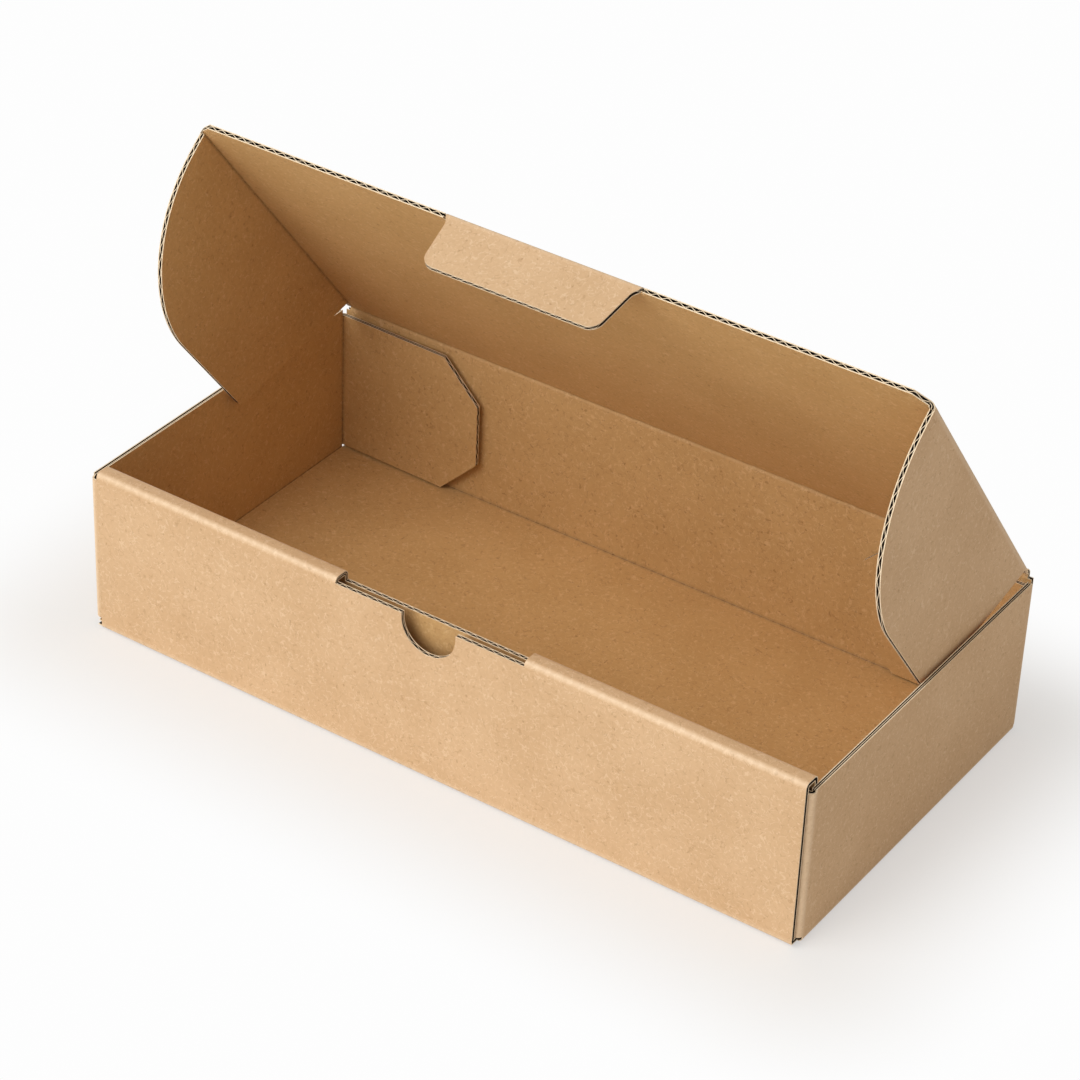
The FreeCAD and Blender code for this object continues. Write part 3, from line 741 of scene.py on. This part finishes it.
rows_q = np.unique(np.concatenate([tab_reach[tab_reach > TAB_START], [TAB_START]]))
rows_half = np.interp(rows_q, tab_reach, tab_half)
share = np.linspace(-1, 1, 13)
keep = np.ones((len(rows_q) - 1, len(share) - 1), bool)
tab_liners = []
for low, high in ((-HALF, LINER - HALF), (HALF - LINER, HALF)):
    tab_x = rows_half[:, None] * share[None, :]
    tab_liners.append(slab(on_tab(tab_x, rows_q[:, None], low),
                           on_tab(tab_x, rows_q[:, None], high), keep))
wave_x = flute_samples(TAB_SIDE_SUNK - TAB_TIP_HALF, TAB_TIP_HALF - TAB_SIDE_SUNK)
tip_q = np.interp(-np.abs(wave_x), -tab_half, tab_reach) - TAB_SUNK
share = np.linspace(0, 1, 4)[:, None]
wave_q = TAB_START + share * (tip_q[None, :] - TAB_START)
crest = wave(wave_x)[None, :]
keep = np.ones((3, len(wave_x) - 1), bool)
tab_waves = [slab(on_tab(wave_x[None, :], wave_q, crest - WAVE_SHEET / 2),
                  on_tab(wave_x[None, :], wave_q, crest + WAVE_SHEET / 2), keep)]
tab = make_piece("tuck_tab_board", tab_liners, tab_waves)
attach(tab, "tab")
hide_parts("tuck_tab")

# The four moving folds, where the same board is pressed along a scored line. The outer liner
# runs on over the fold and the inner one is pinched into it.

FOLD_COLUMN = 1.5
PINCH_INNER = 0.33
PINCH_OUTER = -0.03
PINCH_ROUGH = 0.25
OUTER_STRETCH_AND_SHEEN = 0.7
INNER_CREASE_SHADE = 0.5


def ease(share):
    """Smooth step from 0 to 1: three times the square less twice the cube."""
    return share * share * (3 - 2 * share)


def pinched_fold(half_width, narrow, reach, turn, place, name, seed):
    """Board across a fold whose pivot is in its middle plane.

    A point at a along the flat board and o off it turns about the pivot by the eased share of
    a in the fold times the fold's angle. The inner face rises towards the pivot by the cosine
    squared of a, roughened a little along the fold. The board narrows evenly on each side by
    the length narrow.
    """
    a = np.linspace(-reach, reach, 11)[:, None]
    columns = int(half_width / FOLD_COLUMN) * 2 + 1
    x = np.linspace(-half_width, half_width, columns)[None, :]
    x_there = x * (1 - narrow / half_width * (a + reach) / (2 * reach))
    angle = -turn * ease((a + reach) / (2 * reach))
    pinch = np.cos(a / reach * np.pi / 2) ** 2
    random = np.random.default_rng(seed)
    rough = np.convolve(random.standard_normal(x.size), [0.25, 0.5, 0.25], "same")[None, :]

    def grid(o):
        """Layer of the board at o off its middle, pinched and turned."""
        o = o + pinch * np.where(o < 0, PINCH_INNER, PINCH_OUTER) * (1 + PINCH_ROUGH * rough)
        along = a * np.cos(angle) - o * np.sin(angle)
        above = a * np.sin(angle) + o * np.cos(angle)
        return place(x_there, along, above)

    keep = np.ones((a.size - 1, x.size - 1), bool)
    zero = np.zeros(x.shape)
    # The fold weight gives the outer liner a pale band, partly stretched paper and partly painted
    # highlight, and the inner one painted crease shade.
    inner = slab(grid(-HALF + zero), grid(LINER - HALF + zero), keep,
                 pinch ** 3 * INNER_CREASE_SHADE)
    outer = slab(grid(HALF - LINER + zero), grid(HALF + zero), keep,
                 pinch * OUTER_STRETCH_AND_SHEEN)
    core = slab(grid(-WAVE_SHEET / 2 + zero), grid(WAVE_SHEET / 2 + zero), keep)
    return make_piece(name, [inner, outer], [core])


def above_rear_wall(x, along, above):
    """Place by the rear wall's top, along up the wall and above out to its back at most."""
    return np.stack([x, REAR_Y + np.minimum(above, HALF), HINGE_Z + along], axis=-1)


def beyond_lid(x, along, above):
    """Place by the tab's fold, along on from the lid and above out from its middle plane."""
    return on_lid(x, TAB_FOLD + along, above)


REAR_FOLD_HALF = LID_SIDE + 1.2
TAB_FOLD_HALF = RECESS_HALF - 0.25
TAB_FOLD_NARROW = 0.9

rear_fold = pinched_fold(REAR_FOLD_HALF, 0.0, HINGE_REACH, math.pi / 2 - LID_OPEN,
                         above_rear_wall, "rear_fold_board", 3)
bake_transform(rear_fold)

tab_fold = pinched_fold(TAB_FOLD_HALF, TAB_FOLD_NARROW, TAB_START, TAB_TURN, beyond_lid,
                        "tab_fold_board", 5)
first = on_lid(0.0, RECESS_FRONT, 0.0)
last = on_tab(0.0, TAB_START, 0.0)
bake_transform(tab_fold)


SIDE_FOLD_INSIDE = 0.02
MIDWAY = 60.0


def side_fold(side, name):
    """Quarter round of board about the lid's lower side edge, with a short straight below."""
    turn = np.linspace(0, np.pi / 2, 9)
    s = np.concatenate([[HINGE_REACH], np.linspace(5, 113, 28), [116.0, LID_FRONT]])

    def grid(r):
        """Layer of the board at radius r."""
        x = LID_SIDE + r * np.sin(turn)
        n = -HALF + r * np.cos(turn)
        x = np.append(x, LID_SIDE + r)
        n = np.append(n, -HALF - FLAP_START_H)
        return on_lid(side * x[:, None], cornered(x[:, None], s[None, :]), n[:, None])

    keep = np.ones((len(turn), len(s) - 1), bool)
    fold = np.full((len(turn) + 1, 1), CREASE)
    liners = [slab(grid(SIDE_FOLD_INSIDE), grid(LINER), keep, fold),
              slab(grid(BOARD - LINER), grid(BOARD), keep, fold)]
    waves = [slab(grid(HALF - WAVE_SHEET / 2), grid(HALF + WAVE_SHEET / 2), keep)]
    piece = make_piece(name, liners, waves)
    start = on_lid(side * LID_SIDE, MIDWAY, HALF) / 1000
    end = on_lid(side * FLAP_OUTER, MIDWAY, -HALF) / 1000
    return piece, start, end


for side, word in ((-1.0, "left"), (1.0, "right")):
    strip, first, last = side_fold(side, word + "_side_fold_board")
    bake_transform(strip)

# Plain pale studio: a floor that is white to the camera and keeps the box's shadow, a large
# soft lamp up and to the left in front, a weak one low in front, and an even pale surround.

FLOOR_REACH = 6.0
FLOOR_DROP = 0.0004
FLOOR_CLOUDS = 3.0
FOOT_HALVES = (0.12, 0.061)
SHADOW_REACH = 0.06
NEAR_WHITE = (0.985, 0.985, 0.985, 1.0)

floor_mesh = bpy.data.meshes.new("floor")
floor_corners = FLOOR_REACH * np.array([(-1, -1, 0), (1, -1, 0), (1, 1, 0), (-1, 1, 0)])
floor_mesh.from_pydata(floor_corners, [], [(0, 1, 2, 3)])
floor = bpy.data.objects.new("floor", floor_mesh)
floor.location = (0, 0, -FLOOR_DROP)
bpy.context.scene.collection.objects.link(floor)
material, tree, shader, place = new_material("studio_floor")
cloud = noise(tree, place, FLOOR_CLOUDS, 1.0)
tree.links.new(mixed(tree, cloud, colour(230, 226, 221), colour(234, 230, 225)),
               shader.inputs["Base Color"])
shader.inputs["Roughness"].default_value = 0.9
shader.inputs["Specular IOR Level"].default_value = 0.1
# To the camera the floor is half white at the box's foot, and wholly white from
# SHADOW_REACH on. The distance is how far each of X and Y is outside the box, put together.
spot = add(tree, "ShaderNodeSeparateXYZ", None, Vector=place)
beside = []
for axis, half in enumerate(FOOT_HALVES):
    side = math_node(tree, "ABSOLUTE", spot.outputs[axis])
    beside.append(math_node(tree, "MAXIMUM", math_node(tree, "SUBTRACT", side, half), 0.0))
away = add(tree, "ShaderNodeCombineXYZ", None, X=beside[0], Y=beside[1])
away = add(tree, "ShaderNodeVectorMath", {"operation": "LENGTH"}, _0=away.outputs[0])
white = ramp(tree, away.outputs["Value"], 0.0, SHADOW_REACH, 0.5, 1.0)
path = add(tree, "ShaderNodeLightPath")
white = math_node(tree, "MULTIPLY", white, path.outputs["Is Camera Ray"])
glow = add(tree, "ShaderNodeEmission", None, Color=NEAR_WHITE, Strength=1.0)
both = add(tree, "ShaderNodeMixShader", None, _0=white, _1=shader.outputs[0],
           _2=glow.outputs[0])
tree.links.new(both.outputs[0], tree.nodes["Material Output"].inputs["Surface"])
floor_mesh.materials.append(material)
floor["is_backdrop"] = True

world = bpy.data.worlds.new("studio")
bpy.context.scene.world = world
world.use_nodes = True
tree = world.node_tree
tree.nodes.clear()
path = add(tree, "ShaderNodeLightPath")
seen = math_node(tree, "MAXIMUM", path.outputs["Is Camera Ray"], path.outputs["Is Glossy Ray"])
surround = add(tree, "ShaderNodeBackground", None, Color=(1.0, 0.955, 0.89, 1.0), Strength=0.51)
backdrop = add(tree, "ShaderNodeBackground", None, Color=NEAR_WHITE, Strength=1.0)
mix = add(tree, "ShaderNodeMixShader", None, _0=seen, _1=surround.outputs[0],
          _2=backdrop.outputs[0])
output = add(tree, "ShaderNodeOutputWorld")
tree.links.new(mix.outputs[0], output.inputs["Surface"])


def add_lamp(name, size, energy, eye, target):
    """Round soft lamp at eye, turned so that its minus Z looks at the target."""
    light = bpy.data.lights.new(name, "AREA")
    light.shape = "DISK"
    light.size = size
    light.energy = energy
    lamp = bpy.data.objects.new(name, light)
    bpy.context.scene.collection.objects.link(lamp)
    back = (Vector(eye) - Vector(target)).normalized()
    turn = back.to_track_quat("Z", "Y").to_matrix().to_4x4()
    lamp.matrix_world = Matrix.Translation(Vector(eye)) @ turn


add_lamp("key", 2.2, 40.0, (-0.75, -1.6, 1.95), (0, 0, 0.05))
add_lamp("fill", 1.0, 8.0, (-0.5, -2.0, 0.3), (0, 0, 0.08))

# Camera with a long lens, about a metre away in front, up and to the right. Its angle and
# framing are the photograph's, and it is rolled a little.

FOCAL = 122.8577
AZIMUTH = math.radians(33.2576)
ELEVATION = math.radians(34.348)
ROLL = math.radians(2.4607)
TARGET = Vector((-0.01259, 0.01109, 0.03536))
DISTANCE = 1.05409

back = Vector((math.sin(AZIMUTH) * math.cos(ELEVATION),
               -math.cos(AZIMUTH) * math.cos(ELEVATION), math.sin(ELEVATION)))
right = (-back).cross(Vector((0, 0, 1))).normalized()
up = right.cross(-back)
turned_right = right * math.cos(ROLL) + up * math.sin(ROLL)
turned_up = up * math.cos(ROLL) - right * math.sin(ROLL)
lens = bpy.data.cameras.new("camera")
lens.sensor_width = 36.0
lens.lens = FOCAL
camera = bpy.data.objects.new("camera", lens)
bpy.context.scene.collection.objects.link(camera)
axes = Matrix((turned_right, turned_up, back)).transposed().to_4x4()
camera.matrix_world = Matrix.Translation(TARGET + back * DISTANCE) @ axes
bpy.context.scene.camera = camera
bpy.context.scene.view_settings.view_transform = "Standard"

low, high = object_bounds()
